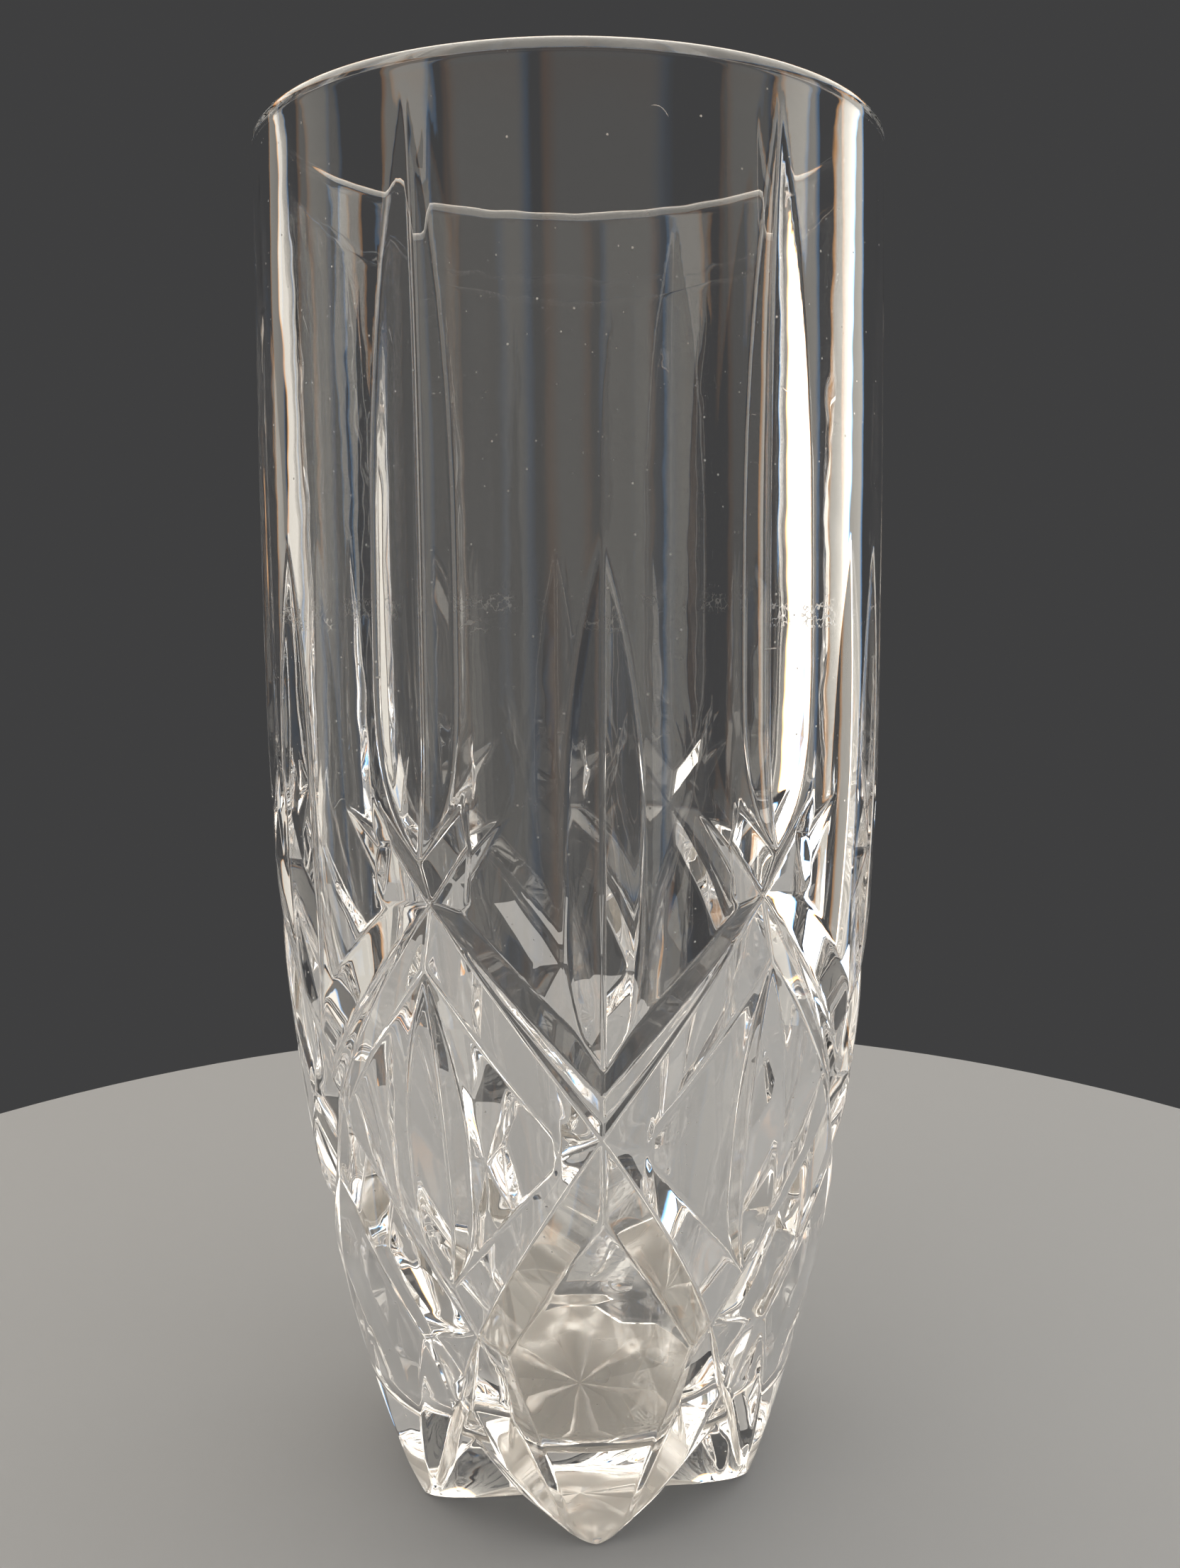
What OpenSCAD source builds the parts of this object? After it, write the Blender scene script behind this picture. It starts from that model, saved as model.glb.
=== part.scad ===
// Cut crystal vase, six-sided pattern, with a star-shaped foot.
// Millimetres. +Z is up, the origin is on the axis at the face that it stands on.
// One piece of glass, divided into its zones: rim, upper wall, lattice wall, base and six feet.
// Angles round the vase are counted from a foot point, which lies on -Y. The pattern repeats
// every 60 degrees and is the same either side of each foot, so every cut is described in the
// 30 degrees from a foot point (0) to the middle of the gap between two feet (30).

/* [Body] */
// Height from the standing face to the lip
height = 229; // [228:0.5:240]
// Outside radius at the belly, where the vase is widest
belly_r = 52.4; // [51.5:0.1:54]
// Height of the belly
belly_z = 141; // [138:1:145]
// How much smaller the circle round the feet is than the belly, in radius
foot_inset = 19.4; // [18:0.1:20]
// How late the wall curves in towards the feet
foot_curve = 2.3; // [2.1:0.05:2.5]
// How much smaller the lip is than the belly, in radius
lip_inset = 1.3; // [0.5:0.1:2]

/* [Inside] */
// Inside radius from the belly up
bore_r = 46.4; // [45.5:0.1:47]
// Height of the inside floor
floor_z = 17; // [15:0.5:19]
// How much smaller the inside is at the floor than at the belly, in radius
floor_inset = 19; // [18:0.5:21]
// Radius of the round corner between the inside wall and the floor
floor_round = 6.5; // [3:0.5:8]
// Height of the plain band at the top
rim_h = 5; // [4:0.5:6]

/* [Crossed cuts] */
// Height of the upper crossings, over the gaps between the feet
cross_a_z = 111.6; // [109:0.2:114]
// Height of the middle crossings, over the foot points
cross_b_z = 76; // [74:0.5:78]
// Height of the lower crossings, over the gaps between the feet
cross_c_z = 38; // [37:0.5:39]
// Depth of the cuts at the upper and middle crossings
cut_depth = 2.6; // [2:0.1:3]
// Depth of the cuts at the lower crossings
low_cut_depth = 5.3; // [4.5:0.1:5.6]
// Height to which the two short ends over an upper crossing reach
fan_top_z = 126; // [124:0.5:128]

/* [Leaf cuts] */
// Greatest depth of a leaf cut
leaf_depth = 2.5; // [2:0.1:3]
// Greatest half width of a leaf cut, in degrees round the vase
leaf_half = 7; // [5:0.5:7.5]

/* [Foot] */
// Radius of the valley between two feet, on the standing face
notch_r = 22.4; // [22:0.1:24]
// How far the valley moves out for each millimetre up
notch_lean = 0.79; // [0.74:0.01:0.84]
// Angle that the flank of a valley faces on the standing face, from the foot point beside it
flank_low = 54.5; // [53:0.5:60]
// Radius of the hollow under the base
hollow_r = 25.5; // [24:0.5:26.5]
// Height of the hollow in the middle
hollow_h = 3; // [1:0.5:4]
// Radius of the star cut into the hollow
star_r = 25; // [20:0.5:25]
// Depth of the star cut
star_depth = 1.5; // [1:0.1:2]
// Half width of a point of the star
star_half = 4.7; // [3:0.1:5]

/* [Hidden] */

glass = [0.86, 0.92, 0.94];
shade = [0.74, 0.83, 0.87];

repeats = 6;
half_turn = 180 / repeats;            // degrees from a foot point to the gap
rim_z = height - rim_h;
lip_round = 1.6;

// How far each cut reaches up and down from its line, at its two ends.
ab_up = [8, 6.5];                     // middle and upper crossing
ab_down = 9.3;
bc_up = [6.1, 12];                    // middle and lower crossing
bc_down = [13, 11];
fan_up = [0.3, 6.7];                  // tip and upper crossing
fan_down = [0.3, 8.7];
fan_reach = 15;                       // degrees that a fan's ends reach to each side
foot_edge = 6;                        // degrees from a foot point to the side of its tip
foot_up = 6.2;                        // reach of a foot's cut, in degrees: towards the gap
foot_down = [0.1, 10.6];              // and towards the foot point, at the bottom and the crossing
foot_swell = 0.9;

// Leaves: half width in degrees, low end, widest, top end, bluntness of the low and the top end.
long_leaf = [leaf_half + 0.4, 118.5, 155, rim_z, 4.6, 2.45];
short_leaf = [leaf_half - 1, 84, 118, 162, 2.6, 2];
low_leaf = [leaf_half - 1, 50.5, 70, 101.5, 3.5, 2.2];

flank_turn_z = 8;                     // above this the flanks of a valley are square to the next foot
tip_round = 3.6;                      // how much the sides of a foot tip are blended, at the bottom
tip_fade_z = 16;                      // where that blend has faded out
core_r = 21.4;                        // the feet start outside this radius
star_widest = 0.62;                   // where a point of the star is widest, as a share of its length
star_flare = 1.3;                     // how far a star cut's flanks run on past the glass
star_lead = 0.05;                     // how far below the glass a star cut starts, in the middle

// The surface has a column every few degrees, and rows in each zone.
half_steps = 10;                      // columns in half a repeat
step = half_turn / half_steps;
columns = 2 * repeats * half_steps;
foot_rows = 8;
foot_top_row = 2;                     // the feet end at this row of the foot zone
fan_rows = 5;
leaf_rows = 18;
wall_steps = 24;                      // steps of the inside wall
arc_steps = 8;                        // steps of a quarter turn
fine = 120;                           // facets of a full circle
overlap = 1;                          // how far joined solids run into each other

function lerp(a, b, t) = a + (b - a) * t;
function clamp(t) = min(1, max(0, t));
function smaller(a, b, k) = min(a, b) - (k <= 0 ? 0 : pow(max(0, k - abs(a - b)), 2) / (4 * k));

// The smooth wall before it is cut.
function wall_r(z) = z < belly_z
    ? belly_r - foot_inset * pow((belly_z - z) / belly_z, foot_curve)
    : belly_r - lip_inset * pow((z - belly_z) / (height - belly_z), 1.5);
function inside_r(z) = z < belly_z
    ? bore_r - floor_inset * pow((belly_z - z) / (belly_z - floor_z), 2)
    : bore_r;

// A V cut: its full depth on its line, and nothing at "up" above or "down" below it.
function vee(off, up, down) = clamp(1 - (off > 0 ? off / up : -off / down));

function cut_ab(a, z) =
    let(t = a / half_turn, line = lerp(cross_b_z, cross_a_z, t))
    cut_depth * vee(z - line, lerp(ab_up[0], ab_up[1], t), ab_down);

function cut_bc(a, z) =
    let(t = a / half_turn, line = lerp(cross_b_z, cross_c_z, t))
    lerp(cut_depth, low_cut_depth, t)
        * vee(z - line, lerp(bc_up[0], bc_up[1], t), lerp(bc_down[0], bc_down[1], t));

// Fades out over a third of its height above the lower crossing.
function cut_foot(a, z) =
    let(t = z / cross_c_z, line = lerp(foot_edge, half_turn, t))
    low_cut_depth * (t < 1 ? t : max(0, 4 - 3 * t))
        * vee(a - line, foot_up, lerp(foot_down[0], foot_down[1], pow(min(t, 1), foot_swell)));

function cut_fan(a, z) =
    let(t = (half_turn - a) / fan_reach, left = clamp(1 - t), line = lerp(cross_a_z, fan_top_z, t))
    cut_depth * left
        * vee(z - line, lerp(fan_up[0], fan_up[1], left), lerp(fan_down[0], fan_down[1], left));

// A leaf cut: widest at its middle, pointed at both ends. The list is one of the leaves above.
function leaf_width(z, low, mid, top, blunt_low, blunt_top) =
    z < mid ? 1 - pow(clamp((mid - z) / (mid - low)), blunt_low)
            : 1 - pow(clamp((z - mid) / (top - mid)), blunt_top);
function cut_leaf(a, z, leaf) =
    let(width = leaf_width(z, leaf[1], leaf[2], leaf[3], leaf[4], leaf[5]))
    width <= 0 ? 0 : leaf_depth * width * clamp(1 - abs(a) / (leaf[0] * width));

function cut(a, z) = max(cut_ab(a, z), cut_bc(a, z), cut_foot(a, z), cut_foot(2 * half_turn - a, z),
                         cut_fan(a, z), cut_leaf(a - half_turn, z, long_leaf),
                         cut_leaf(a, z, short_leaf), cut_leaf(a - half_turn, z, low_leaf));

// The flank of the valley between feet, as a distance from the axis.
function notch(a, z) =
    let(facing = lerp(flank_low, 2 * half_turn, clamp(z / flank_turn_z)))
    (notch_r + notch_lean * z) * cos(facing - half_turn) / cos(facing - a);

function fold(angle) = let(m = abs(angle) % (2 * half_turn)) min(m, 2 * half_turn - m);
function surface_r(angle, z) =
    let(a = fold(angle))
    smaller(wall_r(z) - cut(a, z), notch(a, z), tip_round * clamp(1 - z / tip_fade_z));
function at(angle, r, z) = [r * sin(angle), -r * cos(angle), z];

// The heights of the rows, so that the lines of the cuts run through corners of the surface.
foot_zone = [for (i = [0 : foot_rows]) lerp(0, cross_c_z, i / foot_rows)];
low_zone = [for (i = [0 : half_steps]) lerp(cross_c_z, cross_b_z, i / half_steps)];
high_zone = [for (i = [1 : half_steps]) lerp(cross_b_z, cross_a_z, i / half_steps)];
fan_zone = [for (i = [1 : fan_rows]) lerp(cross_a_z, fan_top_z, i / fan_rows)];
leaf_zone = [for (i = [0 : leaf_rows]) lerp(fan_top_z, rim_z, i / leaf_rows)];
feet_z = foot_zone[foot_top_row];

// Whether the cuts near this cell climb away from the foot point (1) or towards it (0).
function climbs(z) = z < cross_c_z || (z > cross_b_z && z < cross_a_z) ? 1 : 0;
function rising(column, z) = (floor(column / half_steps) % 2 == 0) ? climbs(z) : 1 - climbs(z);

// A closed solid from the first row to the last, filled to the axis.
module turned_solid(rows) {
    last = len(rows) - 1;
    ring = [for (z = rows, c = [0 : columns - 1]) at(c * step, surface_r(c * step, z), z)];
    low = len(ring);
    function id(row, c) = row * columns + c % columns;
    sides = [for (row = [0 : last - 1], c = [0 : columns - 1])
        let(p = id(row, c), q = id(row, c + 1), r = id(row + 1, c + 1), s = id(row + 1, c))
        each rising(c, (rows[row] + rows[row + 1]) / 2) ? [[p, r, q], [p, s, r]] : [[p, s, q], [q, s, r]]];
    bottom = [for (c = [0 : columns - 1]) [low, id(0, c), id(0, c + 1)]];
    top = [for (c = [0 : columns - 1]) [low + 1, id(last, c + 1), id(last, c)]];
    polyhedron(concat(ring, [[0, 0, rows[0]], [0, 0, rows[last]]]), concat(sides, bottom, top), 4);
}

// The room inside, which runs out past the lip.
module room() {
    bend_z = floor_z + floor_round;
    bend_x = inside_r(bend_z) - floor_round;
    open_z = height + rim_h;
    corner = [for (i = [0 : arc_steps]) let(turn = i * 90 / arc_steps)
        [bend_x + floor_round * sin(turn), bend_z - floor_round * cos(turn)]];
    wall = [for (i = [1 : wall_steps]) let(z = lerp(bend_z, belly_z, i / wall_steps)) [inside_r(z), z]];
    rotate_extrude($fn = fine)
        polygon(concat([[0, floor_z]], corner, wall, [[bore_r, open_z], [0, open_z]]));
}

// The hollow under the base: the cap of a large ball.
module hollow() {
    ball_r = (pow(hollow_r, 2) + pow(hollow_h, 2)) / (2 * hollow_h);
    translate([0, 0, hollow_h - ball_r])
        sphere(r = ball_r, $fn = 2 * fine);
}

// One point of the star, towards -Y: a V cut from the middle of the hollow, shaped like a kite.
module star_point() {
    mid_y = -star_widest * star_r;
    mid_z = hollow_h * (1 - pow(mid_y / hollow_r, 2));
    end_z = hollow_h * (1 - pow(star_r / hollow_r, 2));
    side_x = star_flare * star_half;
    side_z = mid_z - (star_flare - 1) * star_depth;
    polyhedron([[0, 0, hollow_h - star_lead], [side_x, mid_y, side_z], [0, -star_r, end_z],
                [-side_x, mid_y, side_z], [0, mid_y, mid_z + star_depth]],
               [[0, 3, 1], [1, 3, 2], [0, 1, 4], [1, 2, 4], [2, 3, 4], [3, 0, 4]]);
}

// A ring with a round lip: its section runs up the bore, over the lip and down the outside.
module rim() {
    outside = wall_r(rim_z);
    top = height - lip_round;
    arc = [for (i = [0 : arc_steps]) i * 90 / arc_steps];
    over_in = [for (t = arc) [bore_r + lip_round * (1 - cos(t)), top + lip_round * sin(t)]];
    over_out = [for (t = arc) [wall_r(height) - lip_round * (1 - sin(t)), top + lip_round * cos(t)]];
    color(shade)
        rotate_extrude($fn = fine)
            polygon(concat([[bore_r, rim_z]], over_in, over_out, [[outside, rim_z]]));
}

module upper_wall() {
    color(glass)
        difference() {
            turned_solid(leaf_zone);
            room();
        }
}

module lattice_wall() {
    color(shade)
        difference() {
            turned_solid(concat(low_zone, high_zone, fan_zone));
            room();
        }
}

module base() {
    color(glass)
        difference() {
            union() {
                turned_solid([for (i = [foot_top_row : foot_rows]) foot_zone[i]]);
                cylinder(h = feet_z + overlap, r = core_r, $fn = fine);
            }
            room();
            hollow();
            for (i = [0 : repeats - 1])
                rotate([0, 0, i * 360 / repeats])
                    star_point();
        }
}

// One point of the foot, number 0 on -Y.
module foot(number) {
    span = 2 * half_steps;
    angles = [for (c = [0 : span]) (c - half_steps) * step];
    outer = [for (row = [0 : foot_top_row], angle = angles)
        at(angle, surface_r(angle, foot_zone[row]), foot_zone[row])];
    inner = [for (row = [0, foot_top_row], angle = angles) at(angle, core_r, foot_zone[row])];
    first = len(outer);
    function out(row, c) = row * (span + 1) + c;
    function in(row, c) = first + row * (span + 1) + c;
    skin = [for (row = [0 : foot_top_row - 1], c = [0 : span - 1])
        let(p = out(row, c), q = out(row, c + 1), r = out(row + 1, c + 1), s = out(row + 1, c))
        each c >= half_steps ? [[p, r, q], [p, s, r]] : [[p, s, q], [q, s, r]]];
    back = [for (c = [0 : span - 1]) [in(0, c), in(0, c + 1), in(1, c + 1), in(1, c)]];
    bottom = [for (c = [0 : span - 1]) [in(0, c), out(0, c), out(0, c + 1), in(0, c + 1)]];
    top = [for (c = [0 : span - 1])
        [in(1, c), in(1, c + 1), out(foot_top_row, c + 1), out(foot_top_row, c)]];
    start = [concat([in(1, 0)], [for (row = [foot_top_row : -1 : 0]) out(row, 0)], [in(0, 0)])];
    end = [concat([in(0, span)], [for (row = [0 : foot_top_row]) out(row, span)], [in(1, span)])];
    color(shade)
        rotate([0, 0, number * 360 / repeats])
            difference() {
                polyhedron(concat(outer, inner), concat(skin, back, bottom, top, start, end), 4);
                hollow();
                star_point();
            }
}

rim();
upper_wall();
lattice_wall();
base();
foot(0);  // foot_1
foot(1);  // foot_2
foot(2);  // foot_3
foot(3);  // foot_4
foot(4);  // foot_5
foot(5);  // foot_6
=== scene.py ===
"""Looks of the cut crystal vase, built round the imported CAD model.

The CAD zones (rim, walls, base, feet) are one piece of glass on the real vase, so here they
are replaced by one continuous closed skin. Its outside follows the same kinds of cut as the CAD
model, with rounded edges. The skin is worked out in millimetres and turned into metres at the
end. Angles are in degrees, counted round the vase from a foot point, which lies on -Y. The
pattern repeats every 60 degrees and is mirrored at every foot point and every gap between feet.
"""
import math

import bpy
import numpy as np
from mathutils import Matrix, Vector


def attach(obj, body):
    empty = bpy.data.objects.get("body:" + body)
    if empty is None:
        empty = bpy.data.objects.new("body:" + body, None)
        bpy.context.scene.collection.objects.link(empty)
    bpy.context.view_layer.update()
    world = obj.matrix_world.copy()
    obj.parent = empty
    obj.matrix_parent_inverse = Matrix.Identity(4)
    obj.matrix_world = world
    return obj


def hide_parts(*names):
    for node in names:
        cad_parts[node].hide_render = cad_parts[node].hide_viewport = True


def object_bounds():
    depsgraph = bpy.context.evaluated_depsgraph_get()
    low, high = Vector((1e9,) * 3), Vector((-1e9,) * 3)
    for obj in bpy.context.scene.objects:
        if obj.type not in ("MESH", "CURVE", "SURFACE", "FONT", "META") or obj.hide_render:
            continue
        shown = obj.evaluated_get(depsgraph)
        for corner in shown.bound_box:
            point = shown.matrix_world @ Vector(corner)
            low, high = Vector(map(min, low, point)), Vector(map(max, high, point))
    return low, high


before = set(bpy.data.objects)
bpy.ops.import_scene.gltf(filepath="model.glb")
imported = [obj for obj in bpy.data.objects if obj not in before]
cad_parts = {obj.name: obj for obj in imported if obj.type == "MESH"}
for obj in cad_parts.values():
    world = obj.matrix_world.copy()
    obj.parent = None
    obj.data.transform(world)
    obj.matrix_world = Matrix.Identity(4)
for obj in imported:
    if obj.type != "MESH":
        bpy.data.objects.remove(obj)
cad_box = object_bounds()

MM = 0.001
NEARLY_ZERO = 1e-6

# The smooth wall.
HEIGHT = cad_box[1].z / MM
BELLY_R = 52.4
BELLY_Z = 141.0
FOOT_INSET = 19.4
FOOT_CURVE = 2.3
LIP_INSET = 1.3
LIP_CURVE = 1.5

# The rim and the inside.
RIM_Z = HEIGHT - 5.0
LIP_H = 2.2
LIP_Z = HEIGHT - LIP_H
BORE_R = 46.4
FLOOR_Z = 17.0
FLOOR_INSET = 19.0
FLOOR_ROUND = 6.5

# The crossed cuts. They cross at three heights, and run on a little past their crossings.
HALF_TURN = 30.0
CROSS_A_Z = 111.6
CROSS_B_Z = 76.0
CROSS_C_Z = 38.0
CUT_DEPTH = 2.6
LOW_CUT_DEPTH = 5.3
RUN_ON = 8.0
FAN_TOP_Z = 126.0
FAN_REACH = 15.0

# How far each cut reaches up and down from its line, at its two ends. The foot's cuts reach
# sideways instead, in degrees: towards the gap and towards the foot point. They widen on their
# way up by the power FOOT_SWELL, and above the lower crossing they fade at the rate FOOT_FADE.
AB_UP = (8.0, 6.5)
AB_DOWN = 9.3
BC_UP = (6.1, 12.0)
BC_DOWN = (13.0, 11.0)
FAN_UP = (0.3, 6.7)
FAN_DOWN = (0.3, 8.7)
FOOT_UP = 6.2
FOOT_DOWN = (0.1, 10.6)
FOOT_SWELL = 0.9
FOOT_FADE = 3.0

# Leaves: half width in degrees, low end, widest, top end, bluntness of the low and the top end.
LEAF_DEPTH = 2.5
LONG_LEAF = (7.4, 118.5, 155, RIM_Z, 4.6, 2.45)
SHORT_LEAF = (6.2, 82.5, 118, 165, 2.9, 2.5)
LOW_LEAF = (6.0, 50.5, 70, 101.5, 3.5, 2.2)

# The foot. The flanks of the valleys turn as they rise, up to FLANK_TURN_Z.
FOOT_EDGE = 6.0
NOTCH_R = 22.4
NOTCH_LEAN = 0.79
FLANK_LOW = 54.5
FLANK_TURN_Z = 8.0
TIP_ROUND = 3.6
TIP_FADE_Z = 16.0
BOTTOM_ROUND = 0.8

# The hollow underside and its star. STAR_WIDEST is a share of the star's radius, and the last
# three are shares of the foot's radius, the star's depth and a flute's width.
HOLLOW_R = 25.5
HOLLOW_H = 3.0
STAR_R = 25.0
STAR_WIDEST = 0.62
STAR_DEPTH = 1.5
STAR_HALF = 4.7
BRIM_SHARE = 0.97
STAR_BLEND = 0.04
STAR_THINNEST = 0.01

# How far the raised edges of the glass are rounded.
EDGE_ROUND = 0.18

# Columns of the skin in half a repeat, and rows in each zone. From the lower crossing to the
# fans' tips, the cuts' lines run through the corners of the cells. INSIDE_START is how far below
# the lip the rows of the inside wall start, in millimetres.
HALF_STEPS = 50
COLUMNS = round(360 / HALF_TURN) * HALF_STEPS
HOLLOW_ROWS = 40
STANDING_SHARES = (0.35, 0.7)
BOTTOM_STEPS = 4
FOOT_ROWS = 64
FAN_ROWS = round(HALF_STEPS * FAN_REACH / HALF_TURN)
LEAF_ROWS = 64
RIM_ROWS = 4
LIP_STEPS = 16
INSIDE_ROWS = 36
INSIDE_START = 4.0
CORNER_STEPS = 13
FLOOR_SHARES = (0.85, 0.65, 0.45, 0.25, 0.1)

# The finishes of the glass: their places in the vase's list of materials.
POLISHED = 0
SATIN = 1

# The glass: its index of refraction and the roughness of smudges, and then in metres the height
# of its faint waves and of the grain underneath. RIPPLE is the finer waves' share of the height.
IOR = 1.545
SMUDGE = 0.03
WAVE_H = 0.00015
RIPPLE = 0.12
GRAIN_H = 0.00001

# A band of scuffs round the wall, in metres: its height, and the distances from there at which
# the scuffs have gone and at which they are at their strongest.
SCUFF_Z = 0.153
SCUFF_BAND = (0.0022, 0.0012)

# How much of the width of a hairline and of a dot is solid.
LINE_CORE = 0.4
DOT_CORE = 0.6

# The table top, in metres.
FLOOR_R = 0.24
FLOOR_GAP = -0.0002
FLOOR_SIDES = 128
FLOOR_COLOUR = (0.20, 0.21, 0.225)
FLOOR_ROUGHNESS = 0.8

# The lights, in metres. An edge is the share of a panel's size over which it fades out.
BLACK = (0, 0, 0, 1)
WHITE = (1, 1, 1, 1)
LAMP = (1.0, 0.935, 0.82)
WARM = (1.0, 0.50, 0.16, 1)
COOL = (0.16, 0.46, 1.0, 1)
BACKDROP = (0.05, 0.05, 0.051, 1)
CEILING = (2.4, 2.4)
CEILING_Z = 0.95
CEILING_RADIANCE = 2.6
CEILING_EDGE = 0.08
PANEL_AWAY = 0.85
PANEL_H = 1.15
PANEL_Z = 0.10
PANEL_EDGE = 0.15

# Panels: name, azimuth in degrees, width and radiance. The azimuth is 0 behind the vase, on +Y,
# and turns towards +X.
PANELS = (
    ("right_edge", 68, 0.26, 2.6),
    ("right_bright", 100, 0.30, 2.2),
    ("right_front", 122, 0.28, 0.6),
    ("front", 172, 0.70, 0.34),
    ("left_front", 212, 0.45, 0.5),
    ("left_bright", 240, 0.28, 1.8),
    ("left", 282, 0.30, 0.6),
    ("left_edge", 308, 0.16, 0.9),
)

# The camera: its place in metres, the way that it looks, its tilt in radians, and its lens.
EYE = (-0.01928, -0.24673, 0.15878)
FORWARD = (0.08782, 0.98568, -0.14394)
ROLL = -0.0073
LENS = 32.63
SENSOR = 36

# Light bounces, enough for it to leave the thick glass again.
GLASS_BOUNCES = 32
GLOSSY_BOUNCES = 16


def mix(a, b, t):
    return a + (b - a) * t


def smaller(a, b, k):
    """The smaller of two, blended where they are within k of each other."""
    near = np.maximum(0, k - np.abs(a - b))
    return np.minimum(a, b) - near**2 / (4 * np.maximum(k, NEARLY_ZERO))


def larger(a, b, k=EDGE_ROUND):
    return -smaller(-a, -b, k)


def wall_r(z):
    """Radius of the smooth wall before it is cut."""
    low = BELLY_R - FOOT_INSET * np.clip((BELLY_Z - z) / BELLY_Z, 0, 1) ** FOOT_CURVE
    high = BELLY_R - LIP_INSET * np.clip((z - BELLY_Z) / (HEIGHT - BELLY_Z), 0, 1) ** LIP_CURVE
    return np.where(z < BELLY_Z, low, high)


def inside_r(z):
    t = np.clip((BELLY_Z - z) / (BELLY_Z - FLOOR_Z), 0, None)
    return BORE_R - FLOOR_INSET * t**2


def vee(off, up, down):
    """A V cut: 1 on its line, 0 at up above it or down below it, and less beyond."""
    return 1 - np.where(off > 0, off / up, -off / down)


def cut_ab(a, z):
    """The cut between the middle and the upper crossing."""
    t = a / HALF_TURN
    line = mix(CROSS_B_Z, CROSS_A_Z, t)
    return CUT_DEPTH * vee(z - line, mix(*AB_UP, t), AB_DOWN)


def cut_bc(a, z):
    """The cut between the middle and the lower crossing, which gets deeper on its way down."""
    t = a / HALF_TURN
    line = mix(CROSS_B_Z, CROSS_C_Z, t)
    return mix(CUT_DEPTH, LOW_CUT_DEPTH, t) * vee(z - line, mix(*BC_UP, t), mix(*BC_DOWN, t))


def cut_foot(a, z):
    """The cut from the side of a foot's tip up to the lower crossing, above which it fades."""
    t = z / CROSS_C_Z
    line = mix(FOOT_EDGE, HALF_TURN, t)
    depth = LOW_CUT_DEPTH * np.where(t < 1, t, np.maximum(0, 1 - FOOT_FADE * (t - 1)))
    return depth * vee(a - line, FOOT_UP, mix(*FOOT_DOWN, np.clip(t, 0, 1) ** FOOT_SWELL))


def cut_fan(a, z):
    """The end of a crossed cut above the upper crossing, which narrows to a fan's tip."""
    t = (HALF_TURN - a) / FAN_REACH
    left = np.clip(1 - t, 0, 1)
    line = mix(CROSS_A_Z, FAN_TOP_Z, t)
    return CUT_DEPTH * left * vee(z - line, mix(*FAN_UP, left), mix(*FAN_DOWN, left))


def cut_leaf(a, z, half, low, mid, top, blunt_low, blunt_top):
    """A leaf-shaped V cut, widest at mid and pointed at low and top."""
    below = 1 - np.clip((mid - z) / (mid - low), 0, None) ** blunt_low
    above = 1 - np.clip((z - mid) / (top - mid), 0, None) ** blunt_top
    width = np.where(z < mid, below, above)
    return LEAF_DEPTH * (width - np.abs(a) / half)


def only(cut, inside):
    """A cut where inside is true. Elsewhere its depth is below 0, which cuts nothing."""
    return np.where(inside, cut, -1.0)


def cut_depth(a, z):
    """Depth of all cuts under the smooth wall, at the folded angle a."""
    cuts = []
    for side in (a, -a, 2 * HALF_TURN - a):
        on_lattice = (side > -RUN_ON) & (side < HALF_TURN + RUN_ON)
        cuts += [
            only(cut_ab(side, z), on_lattice),
            only(cut_bc(side, z), on_lattice),
            cut_foot(side, z),
            only(cut_fan(side, z), side > HALF_TURN - FAN_REACH),
        ]
    cuts += [
        cut_leaf(a - HALF_TURN, z, *LONG_LEAF),
        cut_leaf(a, z, *SHORT_LEAF),
        cut_leaf(a - HALF_TURN, z, *LOW_LEAF),
    ]
    depth = np.zeros_like(a)
    for cut in cuts:
        depth = larger(depth, cut)
    return depth


def notch(a, z):
    """Distance from the axis to the flat flanks of the valley between two feet."""
    faces = mix(FLANK_LOW, 2 * HALF_TURN, np.clip(z / FLANK_TURN_Z, 0, 1))
    valley = (NOTCH_R + NOTCH_LEAN * z) * np.cos(np.radians(faces - HALF_TURN))
    return valley / np.cos(np.radians(faces - a))


def outside_r(angle, z, low=0.0):
    """Distance of the outside from the axis. The bottom edge, at height low, is rounded."""
    m = np.abs(angle) % (2 * HALF_TURN)
    a = np.minimum(m, 2 * HALF_TURN - m)
    blend = EDGE_ROUND + TIP_ROUND * np.clip(1 - z / TIP_FADE_Z, 0, 1)
    r = smaller(wall_r(z) - cut_depth(a, z), notch(a, z), blend)
    edge = np.clip(1 - (z - low) / BOTTOM_ROUND, 0, 1)
    return r - BOTTOM_ROUND * (1 - np.sqrt(1 - edge**2))


def zone_rows():
    """Heights of the outside rows."""
    edge = BOTTOM_ROUND * (1 - np.cos(np.linspace(0, math.pi / 2, BOTTOM_STEPS + 1)))
    zones = [
        edge[:-1],
        np.linspace(BOTTOM_ROUND, CROSS_C_Z, FOOT_ROWS, endpoint=False),
        np.linspace(CROSS_C_Z, CROSS_B_Z, HALF_STEPS, endpoint=False),
        np.linspace(CROSS_B_Z, CROSS_A_Z, HALF_STEPS, endpoint=False),
        np.linspace(CROSS_A_Z, FAN_TOP_Z, FAN_ROWS, endpoint=False),
        np.linspace(FAN_TOP_Z, RIM_Z, LEAF_ROWS, endpoint=False),
        np.linspace(RIM_Z, LIP_Z, RIM_ROWS, endpoint=False),
    ]
    return np.concatenate(zones)


def ring(angles, r, z):
    """Points of one row, in metres. r and z may be numbers or one value for each angle."""
    t = np.radians(angles)
    return np.stack(np.broadcast_arrays(r * np.sin(t), -r * np.cos(t), z), -1) * MM


def hollow_z(r):
    """Height of the shallow dome of the underside."""
    return HOLLOW_H * np.clip(1 - (r / HOLLOW_R) ** 2, 0, 1)


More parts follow.
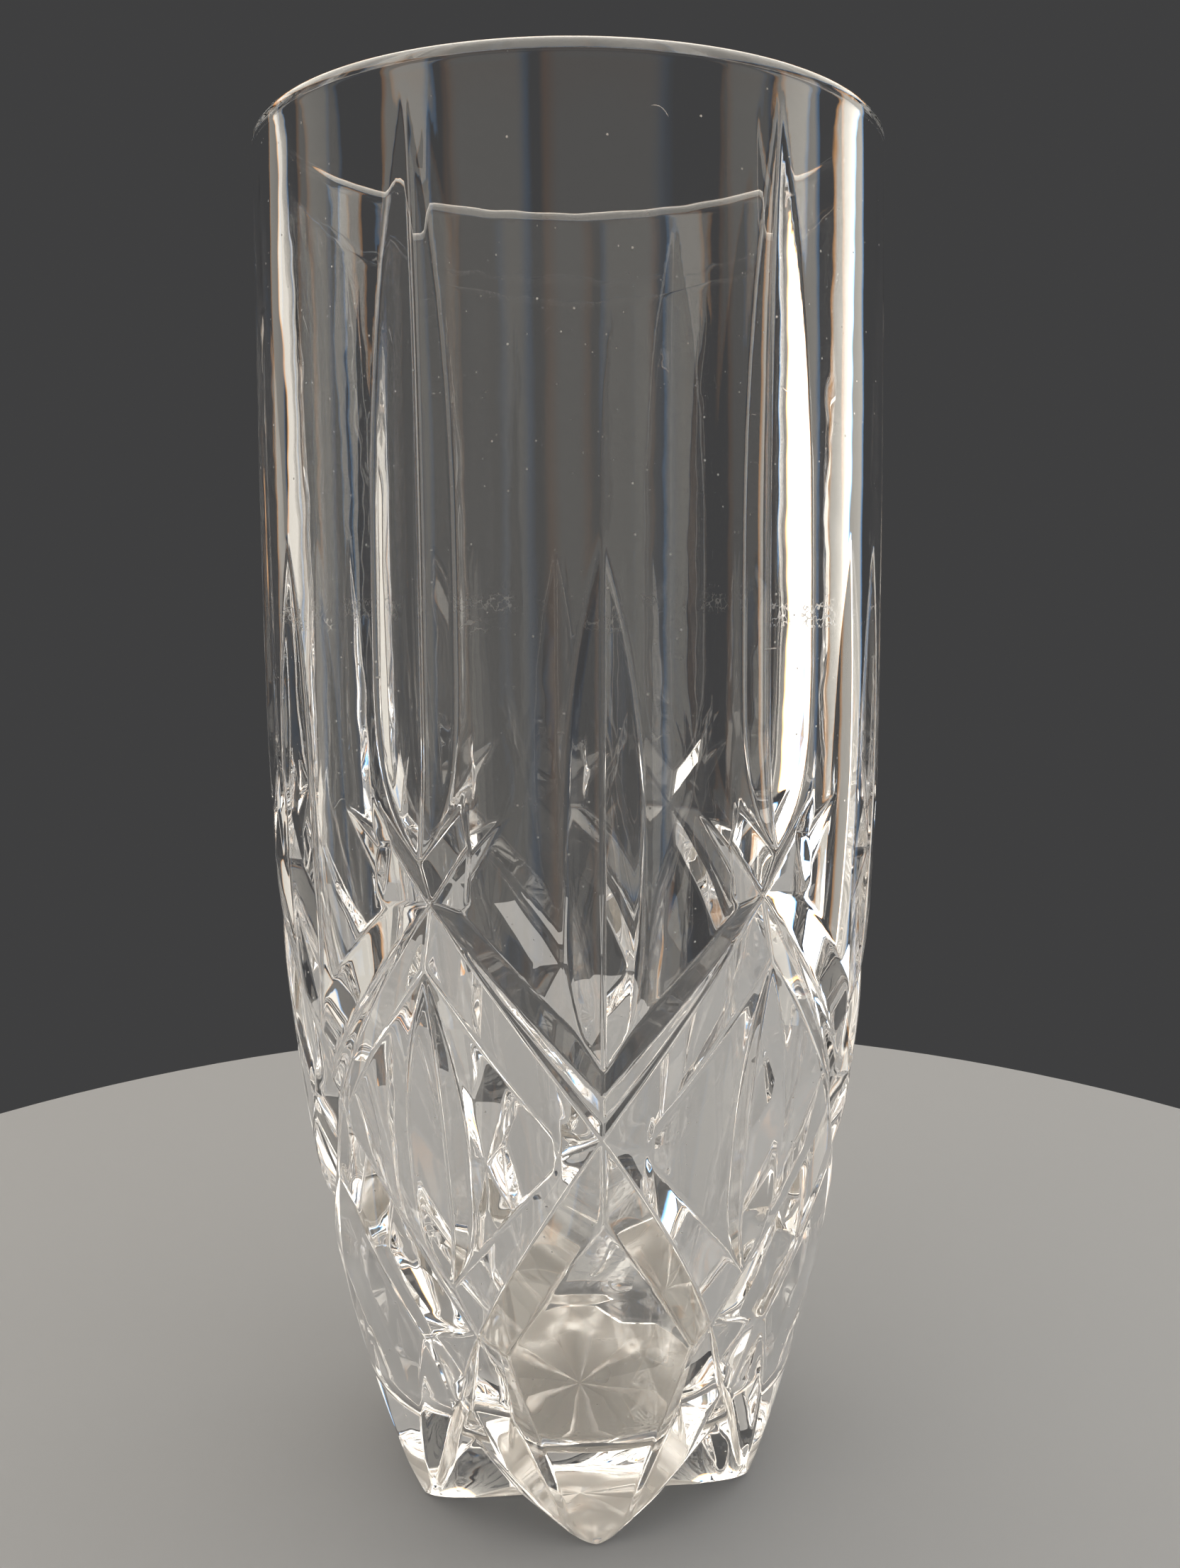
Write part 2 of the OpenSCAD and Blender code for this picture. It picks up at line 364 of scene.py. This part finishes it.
def underside_z(angles, r):
    """Height of the hollow underside, with a star of six petal-shaped round flutes in it."""
    m = np.abs((angles + HALF_TURN) % (2 * HALF_TURN) - HALF_TURN)
    along = r * np.cos(np.radians(m)) / STAR_R
    aside = r * np.sin(np.radians(m)) / STAR_HALF
    end = 1 - np.clip((along - STAR_WIDEST) / (1 - STAR_WIDEST), 0, 1) ** 2
    width = np.where(along < STAR_WIDEST, along / STAR_WIDEST, end)
    flute = width - aside**2 / np.maximum(width, STAR_THINNEST)
    return hollow_z(r) + STAR_DEPTH * larger(flute, np.zeros_like(r), STAR_BLEND)


def lip_and_inside():
    """(r, z) of the rows from the start of the lip, over it and down the inside to the floor."""
    half = (wall_r(np.array(HEIGHT)) - BORE_R) / 2
    turns = np.linspace(0, math.pi, LIP_STEPS + 1)
    lip = [(BORE_R + half + half * math.cos(t), LIP_Z + LIP_H * math.sin(t)) for t in turns]
    corner_z = FLOOR_Z + FLOOR_ROUND
    heights = np.linspace(LIP_Z - INSIDE_START, corner_z, INSIDE_ROWS)
    wall = [(float(inside_r(z)), z) for z in heights]
    flat_r = float(inside_r(corner_z)) - FLOOR_ROUND
    turns = np.linspace(math.pi / 2, 0, CORNER_STEPS + 1)[1:]
    corner = [
        (flat_r + FLOOR_ROUND * math.sin(t), corner_z - FLOOR_ROUND * math.cos(t)) for t in turns
    ]
    flat = [(flat_r * share, FLOOR_Z) for share in FLOOR_SHARES]
    return lip + wall + corner + flat


def underside_rows(angles, foot):
    """Rows of the hollow and of the ring round it that the vase stands on, from the middle out."""
    brim = np.minimum(BRIM_SHARE * foot, HOLLOW_R)
    rows = []
    for share in np.linspace(0, 1, HOLLOW_ROWS + 1)[1:]:
        rows.append(ring(angles, share * brim, underside_z(angles, share * brim)))
    for share in STANDING_SHARES:
        r = mix(brim, foot, share)
        rows.append(ring(angles, r, hollow_z(r)))
    return rows


def outer_rows(angles, foot):
    """Rows up the outside. The lowest ones follow the underside where the hollow meets them."""
    low = hollow_z(foot)
    rows = []
    for z in zone_rows():
        raised = z + low * max(0, 1 - z / FLANK_TURN_Z)
        rows.append(ring(angles, outside_r(angles, raised, low), raised))
    return rows


def falling(column, z):
    """True where the lines of the crossed cuts come down from one column to the next."""
    towards_gap = z < CROSS_C_Z or CROSS_B_Z < z < CROSS_A_Z
    first_half = (column // HALF_STEPS) % 2 == 0
    return towards_gap != first_half


def after(column):
    return (column + 1) % COLUMNS


def split_band(row, z):
    """Triangles between a row and the next one. The cells are split along the cuts' lines."""
    falls = [falling(column, z) for column in (0, HALF_STEPS)]
    faces = []
    for c in range(COLUMNS):
        p = row * COLUMNS + c
        q = row * COLUMNS + after(c)
        r = q + COLUMNS
        s = p + COLUMNS
        if falls[(c // HALF_STEPS) % 2]:
            faces += [(p, q, s), (q, r, s)]
        else:
            faces += [(p, q, r), (p, r, s)]
    return faces


def plain_band(row):
    """Four-sided faces between a row and the next one."""
    low = row * COLUMNS
    high = low + COLUMNS
    return [(low + c, low + after(c), high + after(c), high + c) for c in range(COLUMNS)]


def skin_mesh():
    """The closed skin: rows from the middle of the underside to the middle of the inside floor."""
    angles = np.arange(COLUMNS) * 360 / COLUMNS
    foot = outside_r(angles, np.zeros(COLUMNS))
    rows = underside_rows(angles, foot) + outer_rows(angles, foot)
    outside = len(rows)
    rows += [ring(angles, r, z) for r, z in lip_and_inside()]
    middles = np.array([[0, 0, HOLLOW_H], [0, 0, FLOOR_Z]]) * MM
    points = np.concatenate(rows + [middles])
    faces = []
    finishes = []
    for row in range(len(rows) - 1):
        z = float(rows[row][0, 2] + rows[row + 1][0, 2]) / 2 / MM
        band = split_band(row, z) if row < outside else plain_band(row)
        faces += band
        finishes += [SATIN if row < HOLLOW_ROWS - 1 else POLISHED] * len(band)
    below, above = len(points) - 2, len(points) - 1
    last = (len(rows) - 1) * COLUMNS
    faces += [(above, last + c, last + after(c)) for c in range(COLUMNS)]
    faces += [(below, after(c), c) for c in range(COLUMNS)]
    finishes += [POLISHED] * COLUMNS + [SATIN] * COLUMNS
    mesh = bpy.data.meshes.new("crystal_vase")
    mesh.from_pydata(points.tolist(), [], faces)
    mesh.polygons.foreach_set("material_index", finishes)
    mesh.update()
    mesh.shade_smooth()
    return mesh


def add_node(tree, kind, inputs, **settings):
    """A shader node. Each input is a number, a colour or another node's output."""
    made = tree.nodes.new("ShaderNode" + kind)
    for name, value in settings.items():
        setattr(made, name, value)
    for key, value in inputs.items():
        if isinstance(value, bpy.types.NodeSocket):
            tree.links.new(value, made.inputs[key])
        else:
            made.inputs[key].default_value = value
    return made


def compute(tree, operation, a, b=0.0):
    return add_node(tree, "Math", {0: a, 1: b}, operation=operation).outputs[0]


def distance(tree, value, middle):
    return compute(tree, "ABSOLUTE", compute(tree, "SUBTRACT", value, middle))


def fade(tree, value, start, end, low=0.0, high=1.0):
    """Goes smoothly from low to high as the value goes from start to end."""
    inputs = {"Value": value, "From Min": start, "From Max": end, "To Min": low, "To Max": high}
    return add_node(tree, "MapRange", inputs, interpolation_type="SMOOTHSTEP").outputs[0]


def noise(tree, place, size, detail=0.0, stretch=(1, 1, 1)):
    """Soft noise whose patches are about size across, in metres."""
    spread = add_node(tree, "Mapping", {"Vector": place, "Scale": [s / size for s in stretch]})
    inputs = {"Vector": spread.outputs[0], "Scale": 1.0, "Detail": detail}
    return add_node(tree, "TexNoise", inputs).outputs[0]


def squiggles(tree, place, size, width):
    """Curled hairlines, where soft noise passes through its middle."""
    off = distance(tree, noise(tree, place, size, detail=1.0), 0.5)
    return fade(tree, off, width / size, LINE_CORE * width / size)


def dots(tree, place, cell, radius, share):
    """Soft round patches: one in each cell of the pattern, kept for this share of the cells."""
    cells = add_node(tree, "TexVoronoi", {"Vector": place, "Scale": 1 / cell})
    near = fade(tree, cells.outputs["Distance"], radius / cell, DOT_CORE * radius / cell)
    chance = add_node(tree, "SeparateColor", {"Color": cells.outputs["Color"]}).outputs[0]
    return compute(tree, "MULTIPLY", near, compute(tree, "LESS_THAN", chance, share))


def scuffs(tree, place, z):
    """Curled marks in patches of a band round the wall, as left by rubbing against another vase."""
    band = fade(tree, distance(tree, z, SCUFF_Z), *SCUFF_BAND)
    patchy = fade(tree, noise(tree, place, size=0.012, detail=1.0), start=0.56, end=0.64)
    lines = squiggles(tree, place, size=0.0014, width=0.00005)
    return compute(tree, "MULTIPLY", compute(tree, "MULTIPLY", band, patchy), lines)


def fibres(tree, place):
    """Short hooked hairs and scratches, well apart."""
    lines = squiggles(tree, place, size=0.007, width=0.00006)
    patches = dots(tree, place, cell=0.02, radius=0.0022, share=0.5)
    return compute(tree, "MULTIPLY", lines, patches)


def dust(tree, place):
    return dots(tree, place, cell=0.0032, radius=0.0002, share=0.5)


def worn_ends(tree, z):
    """The lowest part of the feet, dulled by standing on tables."""
    return fade(tree, z, start=0.0006, end=0.0002)


def new_glass(name, colour, transmission):
    """A new glass material, its node tree and the coordinates of the surface, in metres."""
    mat = bpy.data.materials.new(name)
    mat.use_nodes = True
    tree = mat.node_tree
    bsdf = tree.nodes["Principled BSDF"]
    bsdf.inputs["Base Color"].default_value = (*colour, 1)
    bsdf.inputs["Transmission Weight"].default_value = transmission
    bsdf.inputs["IOR"].default_value = IOR
    place = add_node(tree, "TexCoord", {}).outputs["Object"]
    return mat, tree, place


def texture(tree, rough, bumps, bump_h):
    """Gives the glass of this node tree its roughness, and bumps of this height."""
    bump = add_node(tree, "Bump", {"Height": bumps, "Strength": 1.0, "Distance": bump_h})
    bsdf = tree.nodes["Principled BSDF"]
    tree.links.new(rough, bsdf.inputs["Roughness"])
    tree.links.new(bump.outputs[0], bsdf.inputs["Normal"])


def crystal():
    """Clear lead crystal, polished and faintly wavy, with smudges and marks of handling."""
    mat, tree, place = new_glass("crystal", colour=(1.0, 1.0, 1.0), transmission=1.0)
    z = add_node(tree, "SeparateXYZ", {0: place}).outputs[2]
    smears = noise(tree, place, size=0.03, detail=3.0)
    rough = fade(tree, smears, start=0.5, end=0.75, high=SMUDGE)
    marks_and_roughness = (
        (scuffs(tree, place, z), 0.6),
        (dust(tree, place), 0.9),
        (fibres(tree, place), 0.6),
        (worn_ends(tree, z), 0.12),
    )
    for mark, roughness in marks_and_roughness:
        rough = compute(tree, "MAXIMUM", rough, compute(tree, "MULTIPLY", mark, roughness))
    swell = noise(tree, place, size=0.018, detail=1.0, stretch=(1, 1, 0.4))
    ripple = compute(tree, "MULTIPLY", noise(tree, place, size=0.005), RIPPLE)
    texture(tree, rough, compute(tree, "ADD", swell, ripple), WAVE_H)
    return mat


def satin():
    """The underside of the crystal, left frosted by the mould: fine grain, and rubbed in patches."""
    mat, tree, place = new_glass("satin_crystal", colour=(0.96, 0.92, 0.85), transmission=0.5)
    grain = noise(tree, place, size=0.0006, detail=2.0)
    rubbed = noise(tree, place, size=0.008, detail=2.0)
    rough = fade(tree, rubbed, start=0.35, end=0.65, low=0.25, high=0.5)
    texture(tree, rough, grain, GRAIN_H)
    return mat


def add_vase():
    vase = bpy.data.objects.new("crystal_vase", skin_mesh())
    bpy.context.scene.collection.objects.link(vase)
    finishes = {POLISHED: crystal(), SATIN: satin()}
    for place in sorted(finishes):
        vase.data.materials.append(finishes[place])
    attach(vase, "root")
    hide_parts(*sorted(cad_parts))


def floor_material():
    mat = bpy.data.materials.new("floor")
    mat.use_nodes = True
    bsdf = mat.node_tree.nodes["Principled BSDF"]
    bsdf.inputs["Base Color"].default_value = (*FLOOR_COLOUR, 1)
    bsdf.inputs["Roughness"].default_value = FLOOR_ROUGHNESS
    return mat


def add_floor():
    """A round pale table top under the vase."""
    mesh = bpy.data.meshes.new("floor")
    turns = [2 * math.pi * i / FLOOR_SIDES for i in range(FLOOR_SIDES)]
    edge = [(FLOOR_R * math.cos(t), FLOOR_R * math.sin(t), FLOOR_GAP) for t in turns]
    mesh.from_pydata(edge, [], [tuple(range(FLOOR_SIDES))])
    floor = bpy.data.objects.new("floor", mesh)
    floor.data.materials.append(floor_material())
    bpy.context.scene.collection.objects.link(floor)


def edge_ramp(tree, along, edge, first, second):
    """Black at both ends, the first or second colour just inside them, and white between."""
    ramp = add_node(tree, "ValToRGB", {"Fac": along})
    marks = ramp.color_ramp.elements
    marks[0].color = BLACK
    marks[1].color = BLACK
    stops = ((edge / 3, first), (edge, WHITE), (1 - edge, WHITE), (1 - edge / 3, second))
    for position, colour in stops:
        marks.new(position).color = colour
    return ramp.outputs["Color"]


def soften(data, edge):
    """Fade a panel out at its edges, with a little of the split colours of white light there."""
    data.use_nodes = True
    tree = data.node_tree
    emission = next(node for node in tree.nodes if node.type == "EMISSION")
    place = add_node(tree, "NewGeometry", {}).outputs["Parametric"]
    split = add_node(tree, "SeparateXYZ", {0: place})
    across = edge_ramp(tree, split.outputs[0], edge, WARM, COOL)
    upward = edge_ramp(tree, split.outputs[1], edge, COOL, WARM)
    # Inputs 6 and 7 and output 2 are the Mix node's colours, and input 0 is its factor.
    inputs = {0: 1.0, 6: across, 7: upward}
    both = add_node(tree, "Mix", inputs, data_type="RGBA", blend_type="MULTIPLY")
    tree.links.new(both.outputs[2], emission.inputs["Color"])


def add_light(name, size, radiance, place, turn, edge):
    """A soft rectangular panel that shines along its -Z. The camera doesn't see it directly."""
    data = bpy.data.lights.new(name, "AREA")
    data.shape = "RECTANGLE"
    data.size, data.size_y = size
    data.energy = radiance * size[0] * size[1] * math.pi
    data.color = LAMP
    soften(data, edge)
    light = bpy.data.objects.new(name, data)
    light.location = place
    light.rotation_euler = turn
    light.visible_camera = False
    bpy.context.scene.collection.objects.link(light)


def add_lights():
    """A wide soft ceiling, and upright panels round the sides and front. The back stays dark."""
    over = (0, 0, CEILING_Z)
    add_light("ceiling", CEILING, CEILING_RADIANCE, over, (0, 0, 0), CEILING_EDGE)
    for name, azimuth, width, radiance in PANELS:
        a = math.radians(azimuth)
        place = (PANEL_AWAY * math.sin(a), PANEL_AWAY * math.cos(a), PANEL_Z)
        turn = (math.pi / 2, 0, math.pi - a)
        add_light(name, (width, PANEL_H), radiance, place, turn, PANEL_EDGE)


def add_backdrop():
    """A dim even grey in every direction, which is also what the camera sees behind the vase."""
    world = bpy.data.worlds.new("studio")
    bpy.context.scene.world = world
    world.use_nodes = True
    world.node_tree.nodes["Background"].inputs["Color"].default_value = BACKDROP


def add_camera():
    """A hand-held close view from a little above the middle."""
    forward = Vector(FORWARD).normalized()
    right = forward.cross(Vector((0, 0, 1))).normalized()
    up = right.cross(forward)
    across = math.cos(ROLL) * right + math.sin(ROLL) * up
    upward = math.cos(ROLL) * up - math.sin(ROLL) * right
    data = bpy.data.cameras.new("camera")
    data.lens = LENS
    data.sensor_width = SENSOR
    camera = bpy.data.objects.new("camera", data)
    turn = Matrix((across, upward, -forward)).transposed()
    camera.matrix_world = Matrix.Translation(Vector(EYE)) @ turn.to_4x4()
    bpy.context.scene.collection.objects.link(camera)
    bpy.context.scene.camera = camera


def set_light_paths():
    cycles = bpy.context.scene.cycles
    cycles.max_bounces = GLASS_BOUNCES
    cycles.transmission_bounces = GLASS_BOUNCES
    cycles.glossy_bounces = GLOSSY_BOUNCES


add_camera()
add_vase()
add_floor()
add_lights()
add_backdrop()
set_light_paths()
bpy.context.scene.view_settings.view_transform = "Standard"
